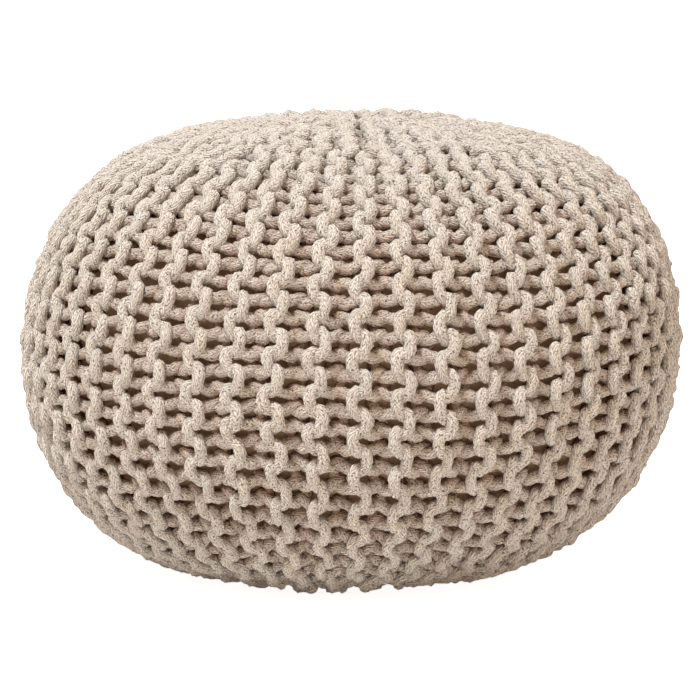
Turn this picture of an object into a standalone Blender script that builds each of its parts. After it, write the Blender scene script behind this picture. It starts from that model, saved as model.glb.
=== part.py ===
"""Knitted pouf: one round filled cushion under a cover hand-knitted from thick cord.

The cover is garter stitch knitted sideways, so its raised ridges run like meridians from the
gathered centre of the top, over the belly, down to the flat base. Along a ridge the loops of
two neighbouring rows meet and lean right and left by turns, which makes each ridge a zigzag.
Every second ridge is a short row: it starts further from the gathered centre.

Metres, +Z up, origin at the centre of the flat base, front of the pouf towards -Y.
"""
import bpy
import bmesh
import numpy as np

# Outer form, measured over the crests of the ridges
RADIUS = 0.250             # at the widest row
BELLY_HEIGHT = 0.163       # height of the widest row above the floor
CROWN_RISE = 0.176         # from the widest row up to the crown, without its ruff and dimple
CROWN_FLATNESS = 3.40      # power of the crown across: 2 is round, more is flatter
CROWN_SQUARENESS = 2.15    # power of the crown upwards
BELLY_DROP = 0.1656        # from the widest row down to the lowest point, before the floor cuts it
BELLY_FLATNESS = 3.97      # power of the underside across
BELLY_SQUARENESS = 1.675   # power of the underside downwards
RUFF_HEIGHT = 0.004        # the gathered ends stand up a little round the middle
RUFF_RADIUS = 0.030
DIMPLE_DEPTH = 0.012       # how far the gathered centre sinks
DIMPLE_RADIUS = 0.013
GATHER_RADIUS = 0.012      # small plain patch where all rows are drawn together
LEAN = 0.042               # the crown has slumped: sideways shift for each metre above the widest row

# Ridges of the knitting
RIDGES = 50
FRONT_RIDGE_ANGLE = np.radians(1.5)   # how far the front ridge lies right of the middle
RIDGE_DEPTH = 0.012                   # crest above valley
ZIGZAG = 0.16                         # sideways swing of a crest, as a share of the ridge pitch
HALF_STITCH = 0.0135                  # along a ridge, from one lean to the other
SHORT_ROW_RADIUS = 0.112              # every second ridge starts here
FADE_LENGTH = 0.040                   # along the surface, over which a ridge grows to full depth
RIM_FADE_LENGTH = 0.030               # the same, where the ridges flatten onto the base

CORD_COLOUR = (0.58, 0.50, 0.41, 1.0)
CORD_ROUGHNESS = 0.9


def clear_scene():
    for old in list(bpy.data.objects):
        bpy.data.objects.remove(old, do_unlink=True)


def outer_curve(samples=1200):
    """Half section of the pouf from the gathered centre to the rim of the base.

    The crown is r = R sin(t)^(2/p), z = h cos(t)^(2/q) above the widest row, plus a low bell curve
    for the ruff and less a narrow one for the dimple. The underside has the same form downwards,
    and stops at the floor.
    Returns radius and height.
    """
    t = np.linspace(0.0, np.pi / 2, samples)
    crown_r = RADIUS * np.sin(t) ** (2 / CROWN_FLATNESS)
    crown_z = BELLY_HEIGHT + CROWN_RISE * np.cos(t) ** (2 / CROWN_SQUARENESS)
    crown_z += RUFF_HEIGHT * np.exp(-(crown_r / RUFF_RADIUS) ** 2)
    crown_z -= DIMPLE_DEPTH * np.exp(-(crown_r / DIMPLE_RADIUS) ** 2)
    under_r = (RADIUS * np.sin(t) ** (2 / BELLY_FLATNESS))[::-1]
    under_z = (BELLY_HEIGHT - BELLY_DROP * np.cos(t) ** (2 / BELLY_SQUARENESS))[::-1]
    r = np.concatenate([crown_r, under_r[1:]])
    z = np.concatenate([crown_z, under_z[1:]])
    kept = (r >= GATHER_RADIUS) | (z < BELLY_HEIGHT)
    kept &= z >= 0.0
    return r[kept], z[kept]


def rows_along(r, z):
    """Points half a stitch apart along the half section, with their outward normals."""
    run = np.concatenate([[0.0], np.cumsum(np.hypot(np.diff(r), np.diff(z)))])
    count = int(round(run[-1] / HALF_STITCH)) + 1
    at = np.linspace(0.0, run[-1], count)
    row_r, row_z = np.interp(at, run, r), np.interp(at, run, z)
    slope_r, slope_z = np.gradient(row_r, at), np.gradient(row_z, at)
    length = np.hypot(slope_r, slope_z)
    return at, row_r, row_z, -slope_z / length, slope_r / length


def grow(distance, length):
    """0 before the start, rising smoothly to 1 after the given length."""
    share = np.clip(distance / length, 0.0, 1.0)
    return share * share * (3 - 2 * share)


def ring_points(row, columns, at, row_r, row_z, out_r, out_z, short_start):
    """One ring of the surface: crests and valleys by turns, crests leaning right or left.

    rise is 1 on a crest and 0 in a valley, and on a short row it grows from 0 where it starts.
    """
    step = 2 * np.pi / columns
    rise = np.where(np.arange(columns) % 2 == 0, 1.0, 0.0)
    if columns == 2 * RIDGES:
        rise[2::4] = grow(at[row] - short_start, FADE_LENGTH)
    fade = grow(at[row], FADE_LENGTH) * grow(at[-1] - at[row], RIM_FADE_LENGTH)
    lean = ZIGZAG * 2 * step * (1 if row % 2 else -1)
    angle = FRONT_RIDGE_ANGLE - np.pi / 2 + np.arange(columns) * step + lean * rise * fade
    depth = RIDGE_DEPTH * fade * (1 - rise)
    radius = row_r[row] - depth * out_r[row]
    z = row_z[row] - depth * out_z[row]
    x = radius * np.cos(angle) + LEAN * np.maximum(z - BELLY_HEIGHT, 0.0)
    return np.stack([x, radius * np.sin(angle), z], axis=1)


def join_rings(bm, upper, lower, leans_right):
    """Triangles between two rings, split so that each leaning crest swells into its valley.

    Where the lower ring has twice the columns, each upper column meets two lower ones.
    """
    for i in range(len(upper)):
        j = (i + 1) % len(upper)
        if len(lower) > len(upper):
            first, middle, last = (lower[(2 * i + k) % len(lower)] for k in range(3))
            bm.faces.new([upper[i], first, middle])
            bm.faces.new([upper[i], middle, upper[j]])
            bm.faces.new([middle, last, upper[j]])
        elif leans_right:
            bm.faces.new([upper[i], lower[i], lower[j]])
            bm.faces.new([upper[i], lower[j], upper[j]])
        else:
            bm.faces.new([upper[i], lower[i], upper[j]])
            bm.faces.new([lower[i], lower[j], upper[j]])


def make_pouf():
    """The whole pouf: rings from the gathered centre to the rim, closed by a cap and the base."""
    r, z = outer_curve()
    rows = rows_along(r, z)
    at, row_r, row_z = rows[:3]
    short_start = np.interp(SHORT_ROW_RADIUS, row_r[row_z > BELLY_HEIGHT], at[row_z > BELLY_HEIGHT])
    bm = bmesh.new()
    rings = []
    for row in range(len(at)):
        columns = RIDGES if at[row] < short_start else 2 * RIDGES
        points = ring_points(row, columns, *rows, short_start)
        rings.append([bm.verts.new(point) for point in points])
    for row in range(len(rings) - 1):
        join_rings(bm, rings[row], rings[row + 1], leans_right=row % 2 == 1)
    bm.faces.new(rings[0])
    bm.faces.new(list(reversed(rings[-1])))
    bmesh.ops.recalc_face_normals(bm, faces=bm.faces)
    mesh = bpy.data.meshes.new("knitted_pouf")
    bm.to_mesh(mesh)
    bm.free()
    mesh.shade_smooth()
    mesh.set_sharp_from_angle(angle=np.radians(70))
    return mesh


def cord_material():
    material = bpy.data.materials.new("cotton_cord")
    material.use_nodes = True
    shader = material.node_tree.nodes["Principled BSDF"]
    shader.inputs["Base Color"].default_value = CORD_COLOUR
    shader.inputs["Roughness"].default_value = CORD_ROUGHNESS
    shader.inputs["Metallic"].default_value = 0.0
    return material


def main():
    clear_scene()
    pouf = bpy.data.objects.new("knitted_pouf", make_pouf())
    pouf.data.materials.append(cord_material())
    bpy.context.scene.collection.objects.link(pouf)


main()
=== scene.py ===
# %% [markdown]
# # A knitted pouf, stitch by stitch
#
# The real pouf is a round filled bag under a cover that is knitted by hand from thick cotton
# cord. The cover is garter stitch, knitted sideways: every row of knitting runs like a meridian,
# from the gathered centre of the top, over the belly, to the centre of the underside. Pairs of
# rows make the raised ridges, and rows of different lengths make the flat piece close to a round.
#
# A picture of knitting could be painted on a smooth cushion, but its gaps, its deep shadows and
# its knobbly outline would be missing. So this lesson carries a real tube of cord along the real
# path of the yarn, nearly two thousand stitches of it. One stitch is a short formula, and numpy
# works it out for all stitches of a row at once.

# %% Load the fixed frame
import bpy
import numpy as np
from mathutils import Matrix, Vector


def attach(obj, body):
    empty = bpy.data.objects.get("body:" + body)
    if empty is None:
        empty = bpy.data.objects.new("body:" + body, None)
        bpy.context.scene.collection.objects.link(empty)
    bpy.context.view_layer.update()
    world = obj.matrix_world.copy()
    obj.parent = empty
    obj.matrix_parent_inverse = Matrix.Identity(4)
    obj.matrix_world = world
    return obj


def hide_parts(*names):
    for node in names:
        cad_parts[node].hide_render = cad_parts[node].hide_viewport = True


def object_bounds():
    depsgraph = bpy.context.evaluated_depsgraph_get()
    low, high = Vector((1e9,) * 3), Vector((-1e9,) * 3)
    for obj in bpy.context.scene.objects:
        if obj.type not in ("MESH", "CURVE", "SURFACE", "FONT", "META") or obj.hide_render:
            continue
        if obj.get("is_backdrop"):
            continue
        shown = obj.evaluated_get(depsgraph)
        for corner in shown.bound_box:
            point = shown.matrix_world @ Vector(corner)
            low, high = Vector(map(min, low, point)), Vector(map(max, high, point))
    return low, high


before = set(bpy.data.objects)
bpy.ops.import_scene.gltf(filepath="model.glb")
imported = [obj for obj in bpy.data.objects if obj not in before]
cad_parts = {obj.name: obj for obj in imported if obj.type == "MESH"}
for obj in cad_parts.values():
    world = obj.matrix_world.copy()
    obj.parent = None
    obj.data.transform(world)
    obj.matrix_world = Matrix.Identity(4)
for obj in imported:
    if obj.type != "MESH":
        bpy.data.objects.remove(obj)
cad_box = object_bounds()
print("CAD box:", [[round(v, 4) for v in corner] for corner in cad_box])

# %% [markdown]
# ## The outer form
#
# The outline of the filled pouf is a soft, flattened ball. A circle would be too round on top
# and a box too square, so the half section is a superellipse, the curve between the two: a sine
# and a cosine raised to a power. The crown and the underside have their own powers, the crown has
# a small dimple where the rows are gathered, and the floor presses the underside flat.

# %% Half section of the pouf
RADIUS = 0.250             # over the crests of the ridges, at the widest row
BELLY_HEIGHT = 0.163       # height of the widest row
CROWN_RISE = 0.176         # from the widest row up to the crown, without its ruff and dimple
CROWN_FLATNESS = 3.40      # power of the crown across: 2 is round, more is flatter
CROWN_SQUARENESS = 2.15    # power of the crown upwards
BELLY_DROP = 0.1656        # from the widest row down, before the floor cuts it
BELLY_FLATNESS = 3.97      # power of the underside across
BELLY_SQUARENESS = 1.675   # power of the underside downwards
RUFF_HEIGHT = 0.004        # the gathered ends stand up a little round the middle
RUFF_RADIUS = 0.030
DIMPLE_DEPTH = 0.012       # how far the gathered centre sinks
DIMPLE_RADIUS = 0.013
LEAN = 0.042               # sideways shift of the slumped crown for each metre above the belly
FRONT_RIDGE_ANGLE = np.radians(1.5)   # how far the front ridge lies right of the middle
SMOOTH = 60                # samples on each side over which the slopes are averaged


def half_section(samples=3000):
    """Arc length, radius, height and outward normal along the half section, at even steps.

    Crown: r = R sin(t)^(2/p), z = z0 + h cos(t)^(2/q), plus a low bell curve for the ruff and
    less a narrow one for the dimple.
    Underside: the same with its own powers, downwards, and never below the floor.
    The slopes are averaged over a short stretch, so that the rim of the base turns smoothly.
    """
    t = np.linspace(0.0, np.pi / 2, 2 * samples)
    crown_r = RADIUS * np.sin(t) ** (2 / CROWN_FLATNESS)
    crown_z = BELLY_HEIGHT + CROWN_RISE * np.cos(t) ** (2 / CROWN_SQUARENESS)
    crown_z += RUFF_HEIGHT * np.exp(-(crown_r / RUFF_RADIUS) ** 2)
    crown_z -= DIMPLE_DEPTH * np.exp(-(crown_r / DIMPLE_RADIUS) ** 2)
    under_r = (RADIUS * np.sin(t) ** (2 / BELLY_FLATNESS))[::-1]
    under_z = (BELLY_HEIGHT - BELLY_DROP * np.cos(t) ** (2 / BELLY_SQUARENESS))[::-1]
    r = np.concatenate([crown_r, under_r[1:]])
    z = np.maximum(np.concatenate([crown_z, under_z[1:]]), 0.0)
    run = np.concatenate([[0.0], np.cumsum(np.hypot(np.diff(r), np.diff(z)))])
    along = np.linspace(0.0, run[-1], samples)
    r, z = np.interp(along, run, r), np.interp(along, run, z)
    bell = np.hanning(2 * SMOOTH + 1)
    slopes = [np.pad(np.gradient(line, along), SMOOTH, mode="edge") for line in (r, z)]
    slope_r, slope_z = (np.convolve(slope, bell / bell.sum(), "valid") for slope in slopes)
    size = np.hypot(slope_r, slope_z)
    return along, r, z, -slope_z / size, slope_r / size


ARC, ARC_R, ARC_Z, ARC_OUT_R, ARC_OUT_Z = half_section()
LENGTH = ARC[-1]
print(f"half section: {LENGTH:.3f} m from the top centre to the bottom centre")

# %% [markdown]
# ## Uneven by hand
#
# Nobody knits two thousand stitches alike, and the filling pushes harder in some places than in
# others. Random values for each stitch would only make it rough. What the eye reads as made by
# hand is slower: whole patches that stand a millimetre or two higher or lower, or lie a little to
# one side. A few sine waves with random slopes, added up, give such patches, and they close round
# the pouf because each has a whole number of waves. The random numbers are seeded, so that every
# run gives the same pouf.

# %% Slow swells
SWELLS = 7                 # slow waves added up for each kind of unevenness
SWELL_ROUND = 6            # at most so many waves round the pouf
SWELL_ALONG = 22.0         # radians for each metre of the half section, at most
SWELL_OUT = 0.0011         # how far the surface swells out or sinks in
SWELL_SIDE = 0.0011        # how far a stretch of a row lies to one side
SWELL_SLIDE = 0.0022       # how far stitches slide along their row
swell_rng = np.random.default_rng(12)


def swell(size):
    """A slow unevenness over the whole pouf, as a function of arc length and angle.

    The sum of seven sines, each with a whole number of waves round, its own slope and phase.
    """
    waves_round = swell_rng.integers(1, SWELL_ROUND + 1, SWELLS)
    slope = swell_rng.uniform(-SWELL_ALONG, SWELL_ALONG, SWELLS)
    phase = swell_rng.uniform(0, 2 * np.pi, SWELLS)

    def value(along, angle):
        along, angle = np.broadcast_arrays(along, angle)
        turn = angle[..., None] * waves_round + along[..., None] * slope + phase
        return size * np.sin(turn).sum(axis=-1) / np.sqrt(SWELLS / 2)

    return value


lump_swell = swell(SWELL_OUT)
side_swell = swell(SWELL_SIDE)
along_swell = swell(SWELL_SLIDE)


def on_surface(along, angle, lift):
    """Points at an arc length, an angle round and a lift off the outer form, in metres.

    The point of the half section is moved by the lift along its normal, turned by the angle,
    and shifted sideways by the lean of the crown.
    """
    lift = lift + lump_swell(along, angle)
    r = np.interp(along, ARC, ARC_R) + lift * np.interp(along, ARC, ARC_OUT_R)
    z = np.interp(along, ARC, ARC_Z) + lift * np.interp(along, ARC, ARC_OUT_Z)
    x = r * np.cos(angle) + LEAN * np.maximum(z - BELLY_HEIGHT, 0.0)
    return np.stack(np.broadcast_arrays(x, r * np.sin(angle), z), axis=-1)


sample = lump_swell(ARC[::100, None], np.linspace(0, 2 * np.pi, 60)[None])
print(f"the surface swells by {sample.min() * 1000:.1f} to {sample.max() * 1000:+.1f} mm")

# %% [markdown]
# ## Rows, ridges and short rows
#
# Fifty ridges stand side by side on the belly. They can't all reach the centre of the top,
# because they would crowd there, so a knitter turns back early on most of them: these are short
# rows. Here every group of five ridges has one full ridge and four that end at different radii.
#
# Each ridge gets a share of the circle that grows smoothly from nothing where it starts to its
# full width. A ridge's angle is then the sum of the shares before it, divided by the sum of all,
# so its neighbours close the gap by themselves where it ends. The radii are off by up to a tenth,
# as in real work, so that the ends do not line up in rings. The full ridges keep their width up to
# the rim of the dimple.

# %% Where each ridge lies
RIDGES = 50
GROUP = 5                                             # one full ridge and four short ones
TOP_ENDS = (0.014, 0.066, 0.128, 0.038, 0.097)       # radius where each ridge of a group ends
BOTTOM_ENDS = (0.020, 0.094, 0.150, 0.056, 0.122)    # the same on the underside
END_WANDER = 0.10                                     # share by which these radii differ
ENDING = 0.024                                        # along the ridge, from nothing to full width
FRONT_KIND = 2                                        # place in its group of the front ridge
NEAR_TOP = 0.03                                       # arc length where ridges are counted


def smooth_step(x):
    """3x^2 - 2x^3, held at 0 before 0 and at 1 after 1."""
    x = np.clip(x, 0.0, 1.0)
    return x * x * (3 - 2 * x)


widest = np.argmax(ARC_R)
kind = (np.arange(RIDGES) + FRONT_KIND) % GROUP
uneven = 1 + END_WANDER * np.random.default_rng(3).uniform(-1, 1, (2, RIDGES))
top_start = np.interp(np.array(TOP_ENDS)[kind] * uneven[0], ARC_R[:widest], ARC[:widest])
under_radius, under_arc = ARC_R[widest:][::-1], ARC[widest:][::-1]
bottom_stop = np.interp(np.array(BOTTOM_ENDS)[kind] * uneven[1], under_radius, under_arc)
full = kind == 0
top_start[full] -= ENDING
bottom_stop[full] += ENDING
share = smooth_step((ARC - top_start[:, None]) / ENDING)
share = share * smooth_step((bottom_stop[:, None] - ARC) / ENDING)
total = share.sum(axis=0)
before = np.cumsum(share, axis=0) - share
turn = 2 * np.pi / total
ridge_angle = FRONT_RIDGE_ANGLE - np.pi / 2 + (before + share / 2 - share[0] / 2) * turn
print(f"ridges at the belly: {total.max():.0f}, near the top: {np.interp(NEAR_TOP, ARC, total):.1f}")

# %% [markdown]
# ## One stitch
#
# Seen flat, the yarn of a row swings left and right as it runs along. At the end of each swing it
# turns back in a round bend. Four terms describe it, with t going once round the clock for each
# stitch:
#
# - sideways: minus reach times cos t;
# - along: t, plus a term in sin 2t that swells each bend into a loop with a narrow neck;
# - up and down: minus rise times cos t lifts the right bend to the front of the fabric and sinks
#   the left one to the back, and a smaller term in cos 3t dips the yarn under its neighbour just
#   before it comes over it.
#
# The next row is the same with front and back swapped. Where two rows meet at the front their
# bends point towards each other and lock: that is a ridge. Where they meet at the back only the
# straight legs show, side by side like a twisted rope: that is a valley.
#
# Three things keep the stitches from looking printed. The swing is skewed by a small angle, so
# that each bend leans, as the pull of the needle left it. The weight of the filling stretches the
# stitches on the underside, where they are longer and the floor presses them flatter. And each
# half stitch has its own small random change of place, loop and thickness.

# %% Yarn of one row
STITCH = 0.0270            # length along a row, on the crown and the belly
LOW_STITCH = 0.0335        # the same on the underside, where the weight stretches it
LOW_FROM, LOW_TO = 0.375, 0.420    # arc lengths between which the stretching sets in
CROWN_THICK = 0.08         # share by which the slack cord is thicker on the crown
CROWN_FROM, CROWN_TO = 0.27, 0.20  # arc lengths between which it grows thicker
PRESS_HEIGHT = 0.035       # below this height the floor presses the ridges flatter
PRESS = 0.45               # share by which they are flatter on the floor
REACH = 0.82               # swing to each side, as a share of the spacing of the rows
ROUND = 0.175              # swelling of the loops, as a share of a stitch
SKEW = 0.20                # lean of the bends, in radians of the swing
RISE = 0.0065              # of the bends above and below the middle of the fabric
CROSS = 0.0008             # dip before one cord comes over the other
ARC_CORD = 0.0045          # radius of the cord in its bends
LEG_CORD = 0.0044          # the same where it is stretched
LOW_ARC_CORD = 0.0042      # the two again, on the underside
LOW_LEG_CORD = 0.0049
DEPTH = 0.0117             # from the crests to the middle of the fabric
FINE_STEPS = 48            # points of the path for each stitch
ROW_FROM = 0.30            # a row runs where its ridge has more than this share of its width
END_SINK = 0.009           # how far its ends dive under the rows beside them
END_SLOPE = 1.4            # how fast they dive as the ridge grows narrower
LOOP_WANDER = 0.08         # random share of a loop, of its swing and of the cord
SWING_WANDER = 0.06
CORD_WANDER = 0.04
PLACE_WANDER = 0.0007      # random shift along the row and up or down
FRONT_STITCH_AT = 0.3172   # arc length of the middle of one loop at the front

stitch_size = STITCH + (LOW_STITCH - STITCH) * smooth_step((ARC - LOW_FROM) / (LOW_TO - LOW_FROM))
COUNT = np.concatenate([[0.0], np.cumsum(np.diff(ARC) / stitch_size[1:])])
COUNT -= np.interp(FRONT_STITCH_AT, ARC, COUNT) % 1.0 - 0.5
print(f"stitches in a full row: {COUNT[-1] - COUNT[0]:.1f}")
rng = np.random.default_rng(7)


def wander(count, first, last, size):
    """A random value that drifts along a row: one draw for each half stitch, linear between."""
    knots = np.arange(np.floor(first) - 1, np.ceil(last) + 1.5, 0.5)
    return size * np.interp(count, knots, rng.standard_normal(len(knots)))


def row_of_yarn(ridge, right):
    """Centre line, outward direction, cord radius and lift of one row.

    right is 0 for the row on the left of a ridge and 1 for the row on its right.
    """
    width = share[ridge]
    alive = ARC[width > ROW_FROM]
    first, last = np.interp([alive[0], alive[-1]], ARC, COUNT)
    count = np.arange(int((last - first) * FINE_STEPS) + 1) / FINE_STEPS + first
    t = 2 * np.pi * count
    swing = t + SKEW
    loose = 1 + wander(count, first, last, LOOP_WANDER)
    along = np.interp(count + ROUND * np.sin(2 * t) * loose, COUNT, ARC)
    along += wander(count, first, last, PLACE_WANDER)
    low = smooth_step((along - LOW_FROM) / (LOW_TO - LOW_FROM))
    spacing = np.interp(along, ARC, width * turn) / 2
    middle = np.interp(along, ARC, ridge_angle[ridge] + (right - 0.5) * width * turn / 2)
    reach = REACH * spacing * (1 + wander(count, first, last, SWING_WANDER))
    angle = middle - reach * np.cos(swing)
    side = 1 - 2 * right
    lift = side * (-RISE * np.cos(swing) - CROSS * np.cos(3 * swing))
    lift += wander(count, first, last, PLACE_WANDER) - DEPTH
    pressed = low * smooth_step(1 - np.interp(along, ARC, ARC_Z) / PRESS_HEIGHT)
    lift *= 1 - PRESS * pressed
    along += along_swell(along, angle)
    angle += side_swell(along, angle) / RADIUS
    lift -= END_SINK * smooth_step(END_SLOPE * (1 - np.interp(along, ARC, width)))
    arc_cord = ARC_CORD + (LOW_ARC_CORD - ARC_CORD) * low
    leg_cord = LEG_CORD + (LOW_LEG_CORD - LEG_CORD) * low
    radius = leg_cord + (arc_cord - leg_cord) * (0.5 + 0.5 * np.cos(2 * swing))
    radius *= 1 + wander(count, first, last, CORD_WANDER)
    radius *= 1 + CROWN_THICK * smooth_step((along - CROWN_FROM) / (CROWN_TO - CROWN_FROM))
    path = on_surface(along, angle, lift)
    out_r, out_z = np.interp(along, ARC, ARC_OUT_R), np.interp(along, ARC, ARC_OUT_Z)
    out = np.stack([out_r * np.cos(angle), out_r * np.sin(angle), out_z], axis=-1)
    return path, out, radius, lift


# %% [markdown]
# ## A tube along a path
#
# The cord is round, so each point of the path gets a ring of points around it, in the plane
# across the path. One direction of the ring is the fabric's outward direction, made square to the
# path; the other is the cross product of the two. The ring's points are the sum of the two
# directions times a cosine and a sine. The UV map runs once round the cord in u and follows its
# length in v, which later lets the braid lie along the cord.
#
# Rings cost triangles, so they stand where they are needed: at even steps of the length plus a
# share of the turning, which sets them closer in the bends than on the straight legs. Each point
# also keeps its depth below the crests, because the shade between the cords looks browner than
# the cords themselves, and the material can mix that colour in by depth. At both ends the tube
# narrows and is closed.

# %% Where the rings stand
RING_STEP = 0.0038         # from ring to ring, in metres of cord plus turning
TURN_WEIGHT = 0.0042       # metres that one radian of turning counts for


def place_rings(path, out, radius, lift):
    """The path at even steps of its length plus its turning, so that bends get more rings."""
    ahead = np.diff(path, axis=0)
    step = np.linalg.norm(ahead, axis=1)
    ahead /= step[:, None]
    turning = np.arccos(np.clip((ahead[1:] * ahead[:-1]).sum(axis=1), -1, 1))
    measure = np.concatenate([[0.0], np.cumsum(step + TURN_WEIGHT * np.append(turning, 0.0))])
    rings = np.linspace(0.0, measure[-1], int(measure[-1] / RING_STEP) + 1)
    table = np.column_stack([path, out, radius, lift])
    columns = [np.interp(rings, measure, column) for column in table.T]
    return np.stack(columns[:3], axis=1), np.stack(columns[3:6], axis=1), columns[6], columns[7]


print(f"a ring about every {RING_STEP * 1000:.1f} mm of straight cord")

# %% Tube of cord
SIDES = 8
LUMP = 0.00045             # how uneven the cord is from point to point
END_SIZE = 0.05            # share of its radius that the cord keeps at its ends


def ring_quads(rings, columns):
    """Place in the grid and the four corner numbers of each quad between neighbouring rings.

    Point k of ring i has the number i x columns + k, and the last column joins the first.
    """
    i, k = np.meshgrid(np.arange(rings - 1), np.arange(columns), indexing="ij")
    after = (k + 1) % columns
    corners = [(i, k), (i + 1, k), (i + 1, after), (i, after)]
    return i, k, np.stack([ring * columns + place for ring, place in corners], axis=-1)


def end_caps(rings, columns):
    """Quads that close the first and the last ring: point 0 with three more of the ring each."""
    k = np.arange(1, columns - 1, 2)
    cap = np.stack([0 * k, k, k + 1, k + 2], axis=-1)
    return np.concatenate([cap, cap[:, ::-1] + (rings - 1) * columns])


def cord_tube(path, out, radius, lift):
    """Vertices, quads, UVs, depth and length of a tube: rings of cos and sin about the path.

    A point's depth below the crests is minus the lift of the path and minus radius x sine.
    """
    ahead = np.gradient(path, axis=0)
    step = np.linalg.norm(ahead, axis=1)
    ahead /= step[:, None]
    across = np.cross(ahead, out)
    across /= np.maximum(np.linalg.norm(across, axis=1), 1e-9)[:, None]
    up = np.cross(across, ahead)
    a = np.arange(SIDES) / SIDES * 2 * np.pi
    ring = np.cos(a)[:, None] * across[:, None] + np.sin(a)[:, None] * up[:, None]
    ends = np.ones(len(path))
    ends[[0, -1]] = END_SIZE
    lumps = rng.standard_normal((len(path), SIDES)) * LUMP
    verts = path[:, None] + ((radius[:, None] + lumps) * ends[:, None])[..., None] * ring
    verts[..., 2] = np.maximum(verts[..., 2], 0.0)
    i, k, quads = ring_quads(len(path), SIDES)
    length = np.concatenate([[0.0], np.cumsum(np.linalg.norm(np.diff(path, axis=0), axis=1))])
    u = np.stack([k, k, k + 1, k + 1], axis=-1) / SIDES
    v = length[np.stack([i, i + 1, i + 1, i], axis=-1)]
    uv = np.stack([u, v], axis=-1)
    caps = end_caps(len(path), SIDES)
    cap_uv = np.stack([caps % SIDES / SIDES, length[caps // SIDES]], axis=-1)
    quads = np.concatenate([quads.reshape(-1, 4), caps])
    uv = np.concatenate([uv.reshape(-1, 2), cap_uv.reshape(-1, 2)])
    depth = -(lift[:, None] + radius[:, None] * np.sin(a))
    return verts.reshape(-1, 3), quads, uv, depth.ravel(), length[-1]


def mesh_object(name, verts, quads, uv, depth):
    """A smooth object from arrays, with its UV map and the depth of each point."""
    mesh = bpy.data.meshes.new(name)
    mesh.vertices.add(len(verts))
    mesh.vertices.foreach_set("co", verts.ravel())
    mesh.loops.add(quads.size)
    mesh.loops.foreach_set("vertex_index", quads.ravel())
    mesh.polygons.add(len(quads))
    mesh.polygons.foreach_set("loop_start", np.arange(len(quads)) * 4)
    mesh.update(calc_edges=True)
    mesh.uv_layers.new(name="cord").uv.foreach_set("vector", uv.ravel())
    mesh.attributes.new("depth", "FLOAT", "POINT").data.foreach_set("value", depth)
    mesh.shade_smooth()
    mesh.validate()
    piece = bpy.data.objects.new(name, mesh)
    bpy.context.scene.collection.objects.link(piece)
    return piece


print(f"{SIDES} points to a ring, and {len(end_caps(2, SIDES)) // 2} faces close each end")

# %% [markdown]
# ## Knitting the cover
#
# On the real pouf the cover is one long piece of knitting. Here it is made in ten panels of five
# ridges each, because a single mesh of all the cord would be too heavy to handle. The panels meet
# in the valleys between two ridges, where the rows lie side by side anyway, so no seam shows.

# %% Knit the cover in panels
PANEL_RIDGES = 5
panels = []
cord_length = 0.0
for start in range(0, RIDGES, PANEL_RIDGES):
    parts = []
    offset = 0
    for ridge in range(start, start + PANEL_RIDGES):
        for right in (0, 1):
            rings = place_rings(*row_of_yarn(ridge, right))
            verts, quads, uv, depth, length = cord_tube(*rings)
            parts.append((verts, quads + offset, uv, depth))
            offset += len(verts)
            cord_length += length
    arrays = (np.concatenate(column) for column in zip(*parts))
    panels.append(mesh_object(f"knit_panel_{start // PANEL_RIDGES + 1:02d}", *arrays))
triangles = sum(2 * len(p.data.polygons) for p in panels)
print(f"{len(panels)} panels, {triangles} triangles, {cord_length:.0f} m of cord")

# %% [markdown]
# ## The filled bag
#
# Without anything behind the gaps one would look right through the cover. The real one is tight
# round a bag of beads, which shows as a dim brownish cloth between the cords. It is the same outer
# form, moved inwards to about the middle of the cord in its back bends, which press into the bag.
# So a plain grid of rings is enough, closed at both ends.

# %% Filled bag under the cover
BAG_LIFT = -0.0185         # from the crests of the ridges, along the outward direction


def filled_bag(rings=120, columns=160):
    """The outer form, moved inwards: a grid of arc length and angle."""
    along = np.linspace(0.0, LENGTH, rings + 2)[1:-1]
    angle = np.arange(columns) / columns * 2 * np.pi
    verts = on_surface(along[:, None], angle[None], BAG_LIFT).reshape(-1, 3)
    faces = ring_quads(rings, columns)[2].reshape(-1, 4).tolist()
    faces.append(list(range(columns)))
    faces.append(list(range((rings - 1) * columns, rings * columns))[::-1])
    mesh = bpy.data.meshes.new("filled_bag")
    mesh.from_pydata(verts.tolist(), [], faces)
    mesh.shade_smooth()
    piece = bpy.data.objects.new("filled_bag", mesh)
    bpy.context.scene.collection.objects.link(piece)
    return piece


bag = filled_bag()
print(f"bag: {len(bag.data.polygons)} faces, {bag.dimensions.x:.3f} m across")

# %% [markdown]
# ## Cotton cord
#
# The cord is a braid of many thin cotton strands, about nine millimetres thick. From a step away
# the braid shows as rows of small slanting strands, each row leaning the other way than its
# neighbours, like the letter V again and again. The cotton is undyed: pale beige, with small dark
# flecks of seed husk and dust between the strands.
#
# An image of a braid would need to be drawn and would smear in the bends. The UV map of the cord
# already says how far round and how far along the cord each point lies, so a few sums give the
# same braid without any image: whole numbers count the strands, and what is left over is the
# place on the strand, from which its rounded height follows. Such sums are long chains of nodes,
# so they go into node groups with named inputs and outputs, and short helpers write the nodes.

# %% Helpers for shader nodes
def set_inputs(tree, node, inputs):
    """Values for the inputs of a node, by name or number; a socket as a value is linked."""
    for name, value in inputs.items():
        if isinstance(value, bpy.types.NodeSocket):
            tree.links.new(value, node.inputs[name])
        else:
            node.inputs[name].default_value = value


def add_node(tree, kind, inputs=None, **settings):
    """A node of a tree, with its settings and inputs."""
    node = tree.nodes.new(kind)
    for name, value in settings.items():
        setattr(node, name, value)
    set_inputs(tree, node, inputs or {})
    return node


def math(tree, operation, *values):
    """One sum, such as ADD or MULTIPLY, of sockets or numbers; gives its output socket."""
    inputs = dict(enumerate(values))
    return add_node(tree, "ShaderNodeMath", inputs, operation=operation).outputs[0]


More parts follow.
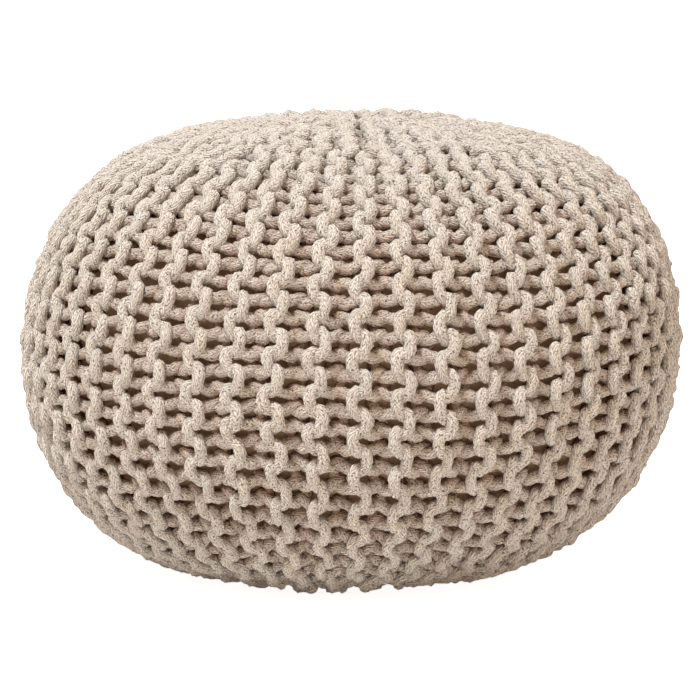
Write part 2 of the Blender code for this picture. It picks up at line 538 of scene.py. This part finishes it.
def mix_colour(tree, share, first, second, blend="MIX"):
    """A mix of two colours by a share from 0 to 1; gives its output socket."""
    inputs = {0: share, 6: first, 7: second}
    return add_node(tree, "ShaderNodeMix", inputs, data_type="RGBA", blend_type=blend).outputs[2]


def remap(tree, value, low, high, to_low=0.0, to_high=1.0):
    """A value between low and high, stretched to the other two numbers and held at the ends."""
    inputs = {"Value": value, "From Min": low, "From Max": high, "To Min": to_low, "To Max": to_high}
    return add_node(tree, "ShaderNodeMapRange", inputs).outputs["Result"]


def new_group(name, inputs, outputs):
    """An empty node group; inputs and outputs map each socket's name to its type, such as Float."""
    group = bpy.data.node_groups.new(name, "ShaderNodeTree")
    for in_out, sockets in (("INPUT", inputs), ("OUTPUT", outputs)):
        for socket, kind in sockets.items():
            group.interface.new_socket(socket, in_out=in_out, socket_type=f"NodeSocket{kind}")
    start = group.nodes.new("NodeGroupInput")
    end = group.nodes.new("NodeGroupOutput")
    return group, start.outputs, end.inputs


def new_material(name):
    """A material, its node tree and its shader."""
    material = bpy.data.materials.new(name)
    material.use_nodes = True
    return material, material.node_tree, material.node_tree.nodes["Principled BSDF"]


helpers = (set_inputs, add_node, math, mix_colour, remap, new_group, new_material)
print("helpers:", ", ".join(helper.__name__ for helper in helpers))

# %% [markdown]
# ## The braid
#
# In a round braid every strand crosses over one neighbour and dives under the next, so the cord
# shows columns of short slanting humps. The darkest spots are the shade in the small holes where a
# strand dives; seen from a step away they read as rows of dots and short strokes. The group gives the
# height of the humps, one random tone for each of them, the fine lines of its yarns and the places
# of these holes, and the material paints shade into the holes and decides what to do with the rest.

# %% Node group of the braid
DRIFT_ROUND = 5.0            # waves of the noise that shifts the strands, round the cord
DRIFT_ALONG = 0.4            # and for each strand along it
DRIFT_SIZE = 1.6             # by how many strands it shifts them
BLUNT_ACROSS = 0.3           # powers of the two arches: the smaller, the blunter is the strand
BLUNT_ALONG = 0.6
HOLE_SHADE_ALONG = (0.15, 0.60)    # painted hole shade fades between these arch heights along the column
HOLE_SHADE_ACROSS = (0.22, 0.45)   # and between these places across the column
YARNS_ACROSS = 1.8           # waves of the noise of single yarns, across a column
YARNS_ALONG = 4.0            # and for each strand along it
YARN_LINES = (0.34, 0.42)    # a line fades between these values of that noise
APART = 7.3                  # keeps the yarns of one column unlike those of the next


def plane_noise(group, x, y, roughness=0.5):
    """Noise over the plane of two coordinates, in waves about one unit long."""
    point = add_node(group, "ShaderNodeCombineXYZ", {"X": x, "Y": y}).outputs[0]
    inputs = {"Vector": point, "Scale": 1.0, "Detail": 2.0, "Roughness": roughness}
    return add_node(group, "ShaderNodeTexNoise", inputs, noise_dimensions="2D").outputs["Fac"]


def braid_group():
    """Strands of a braid from the place round (0 to 1) and along (metres) the cord.

    column = round x columns, and its whole part counts the columns. Odd and even columns lean
    opposite ways: strand = along / pitch + lean x (part of column - 1/2). The height is the
    product of two arches, 1 - (2x - 1)^2 to a power, one along the column and one across it.
    Lines is noise drawn out along each slanting strand, for its single yarns, and the fourth output
    marks the grooves between the strands beside one border of the column, where the material paints
    shade. Slow noise shifts the strands, so that they are not all of one size.
    """
    floats = {name: "Float" for name in ("Around", "Along", "Columns", "Pitch", "Slant")}
    outputs = {name: "Float" for name in ("Height", "Tone", "Lines", "Hole Shade")}
    group, given, result = new_group("braided_strands", floats, outputs)
    column = math(group, "MULTIPLY", given["Around"], given["Columns"])
    across = math(group, "FRACT", column)
    number = math(group, "FLOOR", column)
    odd = math(group, "MODULO", number, 2.0)
    lean = math(group, "MULTIPLY", math(group, "MULTIPLY_ADD", odd, 2.0, -1.0), given["Slant"])
    place = math(group, "DIVIDE", given["Along"], given["Pitch"])
    drift_round = math(group, "MULTIPLY", given["Around"], DRIFT_ROUND)
    drift = plane_noise(group, drift_round, math(group, "MULTIPLY", place, DRIFT_ALONG))
    place = math(group, "ADD", place, math(group, "MULTIPLY", drift, DRIFT_SIZE))
    off_middle = math(group, "SUBTRACT", across, 0.5)
    place = math(group, "ADD", place, math(group, "MULTIPLY", lean, off_middle))
    strand = math(group, "FLOOR", place)
    arches = []
    for part in (across, math(group, "FRACT", place)):
        centred = math(group, "MULTIPLY_ADD", part, 2.0, -1.0)
        arches.append(math(group, "SUBTRACT", 1.0, math(group, "MULTIPLY", centred, centred)))
    arch_across = math(group, "POWER", arches[0], BLUNT_ACROSS)
    arch_along = math(group, "POWER", arches[1], BLUNT_ALONG)
    height = math(group, "MULTIPLY", arch_across, arch_along)
    # Painted hole shade: a dash near the ends of each strand, beside one border of the column.
    edge = remap(group, arches[1], *HOLE_SHADE_ALONG, 1.0, 0.0)
    hole_shade = math(group, "MULTIPLY", edge, remap(group, across, *HOLE_SHADE_ACROSS, 1.0, 0.0))
    key = add_node(group, "ShaderNodeCombineXYZ", {"X": number, "Y": strand})
    tone = add_node(group, "ShaderNodeTexWhiteNoise", {"Vector": key.outputs[0]}, noise_dimensions="2D")
    apart = math(group, "MULTIPLY", number, APART)
    yarn_across = math(group, "MULTIPLY_ADD", across, YARNS_ACROSS, apart)
    yarn_along = math(group, "MULTIPLY", place, YARNS_ALONG)
    yarns = plane_noise(group, yarn_across, yarn_along, roughness=0.7)
    group.links.new(height, result["Height"])
    group.links.new(tone.outputs["Value"], result["Tone"])
    group.links.new(hole_shade, result["Hole Shade"])
    group.links.new(remap(group, yarns, *YARN_LINES, 1.0, 0.0), result["Lines"])
    return group


braid = braid_group()
print("braid group:", len(braid.nodes), "nodes")

# %% [markdown]
# ## Loose fibres
#
# Cotton is never smooth: short fibres stand off it, bits of seed husk are spun in, and the raw
# colour drifts from cream to beige along the yarn. The three have different sizes, so the group
# takes noise at three scales. It works on the place in space, not on the UV map, so that the cord
# and the bag can share it.

# %% Node group of the fibres
NOISE_SCALES = {"fine": 1.0, "fleck": 0.45, "cloud": 0.03}   # shares of the given scale
FLECK_NOISE = (0.59, 0.63)   # a fleck sets in between these values of its noise
CLOUD_NOISE = (0.35, 0.65)   # and a cloud between these


def fibre_group():
    """Loose cotton fibres: fine height, dark flecks and warm clouds, from noise of three sizes."""
    group, given, result = new_group("cotton_fibres", {"Place": "Vector", "Scale": "Float"},
                                     {"Height": "Float", "Flecks": "Float", "Clouds": "Float"})
    noises = {}
    for name, times in NOISE_SCALES.items():
        scale = math(group, "MULTIPLY", given["Scale"], times)
        inputs = {"Vector": given["Place"], "Scale": scale, "Detail": 2.0, "Roughness": 0.6}
        noises[name] = add_node(group, "ShaderNodeTexNoise", inputs).outputs["Fac"]
    group.links.new(noises["fine"], result["Height"])
    group.links.new(remap(group, noises["fleck"], *FLECK_NOISE), result["Flecks"])
    group.links.new(remap(group, noises["cloud"], *CLOUD_NOISE), result["Clouds"])
    return group


fibres = fibre_group()
print("fibre group:", len(fibres.nodes), "nodes")

# %% [markdown]
# ## Colour and relief of the cord
#
# From below upwards: each strand is a little lighter or darker than the next, painted shade in the
# grooves and the yarn lines darken it, warm clouds drift over it, husk flecks and painted shade in
# the holes of the braid lie on top, and deep between the cords a painted shade turns everything
# red-brown, as light does that has bounced from cord to cord and lost its blue. Towards the top the
# braid is fainter and the colour a little greyer. The surface scatters light in all directions, which
# a shader with a rough diffuse part and a weak sheen does; it has hardly any gloss.

# %% Cord material
CORD_LIGHT = (0.745, 0.698, 0.64, 1)  # strands are between this colour
CORD_PALE = (0.77, 0.73, 0.68, 1)     # and this one
GROOVE_SHADE_AND_YARN_COLOUR = (0.30, 0.21, 0.15, 1)     # painted shade in the grooves, and the lines along the yarns
CORD_WARM = (1.0, 0.962, 0.922, 1)    # what the clouds multiply the colour by
# Husk flecks, and the painted shade in the holes of the braid, take this colour.
FLECK_AND_HOLE_SHADE = (0.14, 0.10, 0.07, 1)
DEEP_SHADE_TINT = (0.54, 0.32, 0.185, 1)         # painted shade: colour multiplied by this deep in the fabric
DEEP_SHADE_FROM, DEEP_SHADE_TO = 0.0060, 0.0158   # depths between which that sets in
STRAND_COLUMNS = 9
STRAND_PITCH = 0.0031                 # metres of cord for each strand of a column
STRAND_SLANT = 1.5                    # lean of a strand, in strands from border to border
PALE_TONES = (0.3, 1.0)               # strands of these tones go from light to pale
HOLE_SHADE_TONES = (0.2, 0.45)              # strands of a tone below these get no painted hole shade
# The grooves between the strands get painted shade, as strong as set here.
GROOVE_SHADE_HEIGHTS = (0.08, 0.62)                 # heights of the braid between which painted groove shade ends
GROOVE_SHADE_STRENGTH, YARN_DARK, FLECK_DARK = 0.62, 0.66, 0.95   # how strongly each of them shows
FIBRE_SCALE = 1500.0                  # waves of the finest noise for each metre
FIBRE_HEIGHT = 0.45                   # as a share of the height of the strands
CORD_RELIEF = 0.0014                  # metres from the bottom of a groove to the top of a strand
GREYING_FROM, GREYING_TO = 0.265, 0.325     # heights between which the crown turns greyer and its braid fainter
CROWN_FADE = 0.35                           # share of the braid and relief that fades on the crown
CROWN_GREYING = (0.87, 0.88, 0.895, 1)    # what the crown's colour is multiplied by
CORD_SURFACE = {"Roughness": 0.92, "Diffuse Roughness": 1.0, "Specular IOR Level": 0.25}
CORD_SURFACE |= {"Sheen Weight": 0.25, "Sheen Roughness": 0.55, "Sheen Tint": (1.0, 0.96, 0.92, 1)}


def cord_finish():
    """Braid, fibres, flecks, painted shade by groove, hole and depth, and a greyer crown."""
    material, tree, shader = new_material("cotton_cord")
    uv = add_node(tree, "ShaderNodeUVMap", uv_map="cord")
    around_along = add_node(tree, "ShaderNodeSeparateXYZ", {"Vector": uv.outputs[0]})
    place = add_node(tree, "ShaderNodeTexCoord").outputs["Object"]
    inputs = {"Around": around_along.outputs[0], "Along": around_along.outputs[1]}
    inputs |= {"Columns": STRAND_COLUMNS, "Pitch": STRAND_PITCH, "Slant": STRAND_SLANT}
    strands = add_node(tree, "ShaderNodeGroup", inputs, node_tree=braid)
    inputs = {"Place": place, "Scale": FIBRE_SCALE}
    cotton = add_node(tree, "ShaderNodeGroup", inputs, node_tree=fibres)
    height = add_node(tree, "ShaderNodeSeparateXYZ", {"Vector": place}).outputs["Z"]
    # Towards the crown the colour turns greyer and the braid fainter.
    towards_crown = remap(tree, height, GREYING_FROM, GREYING_TO)
    crisp = remap(tree, towards_crown, 0.0, 1.0, 1.0, 1.0 - CROWN_FADE)
    # Painted shade in the grooves between the strands; with it the darker yarn lines.
    groove_shade = remap(tree, strands.outputs["Height"], *GROOVE_SHADE_HEIGHTS, GROOVE_SHADE_STRENGTH, 0.0)
    yarns = math(tree, "MULTIPLY", strands.outputs["Lines"], YARN_DARK)
    dark = math(tree, "MULTIPLY", math(tree, "MAXIMUM", groove_shade, yarns), crisp)
    # Painted shade in the holes where a strand dives, on strands of some tones only.
    some = remap(tree, strands.outputs["Tone"], *HOLE_SHADE_TONES)
    hole_shade = math(tree, "MULTIPLY", math(tree, "MULTIPLY", strands.outputs["Hole Shade"], some), crisp)
    pale = remap(tree, strands.outputs["Tone"], *PALE_TONES)
    colour = mix_colour(tree, pale, CORD_LIGHT, CORD_PALE)
    colour = mix_colour(tree, dark, colour, GROOVE_SHADE_AND_YARN_COLOUR)
    colour = mix_colour(tree, cotton.outputs["Clouds"], colour, CORD_WARM, "MULTIPLY")
    # Husk flecks and painted hole shade, in one dark colour.
    flecks_and_hole_shade = math(tree, "MAXIMUM", cotton.outputs["Flecks"], hole_shade)
    colour = mix_colour(tree, math(tree, "MULTIPLY", flecks_and_hole_shade, FLECK_DARK), colour, FLECK_AND_HOLE_SHADE)
    # Painted shade between the cords, browner the deeper a point lies in the fabric.
    depth = add_node(tree, "ShaderNodeAttribute", attribute_name="depth").outputs["Fac"]
    painted_deep_shade = remap(tree, depth, DEEP_SHADE_FROM, DEEP_SHADE_TO)
    colour = mix_colour(tree, painted_deep_shade, colour, DEEP_SHADE_TINT, "MULTIPLY")
    colour = mix_colour(tree, towards_crown, colour, CROWN_GREYING, "MULTIPLY")
    fluff = math(tree, "MULTIPLY", cotton.outputs["Height"], FIBRE_HEIGHT)
    relief = math(tree, "ADD", strands.outputs["Height"], fluff)
    relief = math(tree, "MULTIPLY", relief, crisp)
    inputs = {"Strength": 1.0, "Distance": CORD_RELIEF, "Height": relief}
    bump = add_node(tree, "ShaderNodeBump", inputs)
    set_inputs(tree, shader, {"Base Color": colour, "Normal": bump.outputs["Normal"]} | CORD_SURFACE)
    return material


cord_material = cord_finish()
for panel in panels:
    panel.data.materials.append(cord_material)
print("cord material:", len(cord_material.node_tree.nodes), "nodes")

# %% [markdown]
# ## Cloth of the bag
#
# Through some gaps of the knitting the bag shows as brownish cloth. It is a plain weave of thin
# yarn, so two sine waves at right angles give its threads, and the same cotton fibres as on the
# cord roughen it.

# %% Bag material
BAG_LIGHT = (0.68, 0.49, 0.32, 1)
BAG_DARK = (0.46, 0.29, 0.17, 1)
THREADS = 900.0            # for each metre of cloth
BAG_FLECKS = 0.4           # how strongly the flecks show
BAG_RELIEF = 0.0004


def bag_finish():
    """Plain weave from the product of two waves, with cotton fibres over it."""
    material, tree, shader = new_material("bag_cloth")
    place = add_node(tree, "ShaderNodeTexCoord").outputs["Object"]
    axes = add_node(tree, "ShaderNodeSeparateXYZ", {"Vector": place})
    waves = []
    for axis in ("X", "Z"):
        scaled = math(tree, "MULTIPLY", axes.outputs[axis], THREADS * 2 * np.pi)
        waves.append(math(tree, "SINE", scaled))
    weave = math(tree, "MULTIPLY_ADD", math(tree, "MULTIPLY", *waves), 0.5, 0.5)
    inputs = {"Place": place, "Scale": FIBRE_SCALE}
    cotton = add_node(tree, "ShaderNodeGroup", inputs, node_tree=fibres)
    colour = mix_colour(tree, weave, BAG_DARK, BAG_LIGHT)
    flecks = math(tree, "MULTIPLY", cotton.outputs["Flecks"], BAG_FLECKS)
    colour = mix_colour(tree, flecks, colour, FLECK_AND_HOLE_SHADE)
    relief = math(tree, "ADD", weave, cotton.outputs["Height"])
    bump = add_node(tree, "ShaderNodeBump", {"Strength": 0.5, "Distance": BAG_RELIEF, "Height": relief})
    inputs = {"Base Color": colour, "Normal": bump.outputs["Normal"], "Roughness": 0.9}
    set_inputs(tree, shader, inputs)
    return material


bag.data.materials.append(bag_finish())
print("bag material:", len(bag.data.materials[0].node_tree.nodes), "nodes")

# %% [markdown]
# ## What each piece belongs to
#
# The pouf has no moving parts: cover and bag are one cushion. So every panel and the bag ride with
# the one body and take the place of the one CAD solid.

# %% What each piece moves with
for piece in panels + [bag]:
    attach(piece, "root")
    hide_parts("knitted_pouf")
print(len(panels) + 1, "pieces stand for the pouf")

# %% [markdown]
# ## Floor
#
# The pouf stands on a white ground without a horizon. A grey floor lit by the lamps would show
# every step of the light, so this one also glows: for the camera, more with the distance, until it
# is pure white, and for the pouf only faintly and in a warm tone, as light comes back from a
# studio floor.

# %% Floor
FLOOR_HALF = 12.0
FLOOR_NEAR, FLOOR_FAR = 0.25, 1.8   # distances from the middle between which the glow grows
GLOW_NEAR, GLOW_FAR = 0.68, 0.86    # its strength there, for the camera alone
FLOOR_GLOW = 0.20                   # strength of the even glow that the pouf gets too
FLOOR_WARM = (1.0, 0.84, 0.70, 1)
FLOOR_COLOUR = (0.86, 0.86, 0.86, 1)
WHITE = (1.0, 1.0, 1.0, 1)


def floor_finish():
    """A pale, faintly glowing floor; for the camera its glow grows with the distance."""
    material, tree, shader = new_material("pale_floor")
    place = add_node(tree, "ShaderNodeTexCoord").outputs["Object"]
    away = add_node(tree, "ShaderNodeVectorMath", {0: place}, operation="LENGTH").outputs["Value"]
    glow = remap(tree, away, FLOOR_NEAR, FLOOR_FAR, GLOW_NEAR, GLOW_FAR)
    camera_ray = add_node(tree, "ShaderNodeLightPath").outputs["Is Camera Ray"]
    inputs = {"Base Color": FLOOR_COLOUR, "Roughness": 0.7}
    inputs["Emission Color"] = mix_colour(tree, camera_ray, FLOOR_WARM, WHITE)
    inputs["Emission Strength"] = math(tree, "MULTIPLY_ADD", glow, camera_ray, FLOOR_GLOW)
    set_inputs(tree, shader, inputs)
    return material


floor_mesh = bpy.data.meshes.new("floor")
corners = [(x * FLOOR_HALF, y * FLOOR_HALF, 0.0) for x, y in ((-1, -1), (1, -1), (1, 1), (-1, 1))]
floor_mesh.from_pydata(corners, [], [(0, 1, 2, 3)])
floor_mesh.materials.append(floor_finish())
floor = bpy.data.objects.new("floor", floor_mesh)
bpy.context.scene.collection.objects.link(floor)
floor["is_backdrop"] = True
print("floor:", 2 * FLOOR_HALF, "m wide")

# %% [markdown]
# ## Camera
#
# The photograph looks slightly down: the flat crown shows as a narrow band, and the belly shows
# nearly straight on. A distance of three metres, nine degrees of height and a long lens give the
# same outline.

# %% Camera
CAMERA_DISTANCE = 3.0
CAMERA_ELEVATION = np.radians(9.0)
CAMERA_LENS = 203.3        # millimetres, for a sensor 36 mm wide
AIM = Vector((0.0007, 0.0, 0.1627))   # the point in the middle of the picture
camera = bpy.data.objects.new("camera", bpy.data.cameras.new("camera"))
bpy.context.scene.collection.objects.link(camera)
towards_camera = Vector((0, -np.cos(CAMERA_ELEVATION), np.sin(CAMERA_ELEVATION)))
camera.location = AIM + CAMERA_DISTANCE * towards_camera
camera.rotation_euler = (AIM - camera.location).to_track_quat("-Z", "Y").to_euler()
camera.data.sensor_width = 36
camera.data.lens = CAMERA_LENS
bpy.context.scene.camera = camera
print(f"camera: {camera.data.lens} mm lens at {[round(v, 2) for v in camera.location]}")

# %% [markdown]
# ## Light
#
# The main lamp stands high on the left, small enough for each cord to throw a shadow on the one
# below. A wider and warmer one on the right opens the shaded side, a weak one behind lifts the
# rim of the crown, and the warm surroundings fill the gaps. The camera sees white instead of
# these surroundings.

# %% Light
SURROUNDINGS = (1.0, 0.78, 0.61, 1)
SURROUNDINGS_STRENGTH = 0.68


def soft_light(name, place, size, power, colour):
    """A square lamp that looks at the pouf; metres and watts."""
    light = bpy.data.lights.new(name, "AREA")
    light.size = size
    light.energy = power
    light.color = colour
    lamp = bpy.data.objects.new(name, light)
    lamp.location = place
    lamp.rotation_euler = (AIM - Vector(place)).to_track_quat("-Z", "Y").to_euler()
    bpy.context.scene.collection.objects.link(lamp)


soft_light("key", (-0.86, -1.15, 2.5), 0.45, 82, (0.92, 0.975, 1.0))
soft_light("fill", (1.9, -1.3, 2.0), 1.0, 19, (1.0, 0.90, 0.80))
soft_light("back", (0.3, 1.4, 2.6), 1.2, 8, (1.0, 1.0, 1.0))
studio = bpy.data.worlds.new("studio")
studio.use_nodes = True
tree = studio.node_tree
warm = tree.nodes["Background"]
set_inputs(tree, warm, {"Color": SURROUNDINGS, "Strength": SURROUNDINGS_STRENGTH})
backdrop = add_node(tree, "ShaderNodeBackground", {"Color": WHITE, "Strength": 1.0})
camera_ray = add_node(tree, "ShaderNodeLightPath").outputs["Is Camera Ray"]
inputs = {"Fac": camera_ray, 1: warm.outputs[0], 2: backdrop.outputs[0]}
mix = add_node(tree, "ShaderNodeMixShader", inputs)
set_inputs(tree, tree.nodes["World Output"], {"Surface": mix.outputs[0]})
bpy.context.scene.world = studio
bpy.context.scene.view_settings.view_transform = "Standard"

# %% [markdown]
# ## Sizes
#
# Last, the boxes of the solid model and of the dressed one are compared, and the largest difference
# is printed. The cords may stand a few millimetres proud of the solid, which has the ridges but not
# the loops.

# %% Sizes and finish
proud = [np.abs(np.subtract(a, b)).max() for a, b in zip(cad_box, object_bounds())]
print(f"the dressed box is off the CAD box by {max(proud) * 1000:.1f} mm at most")
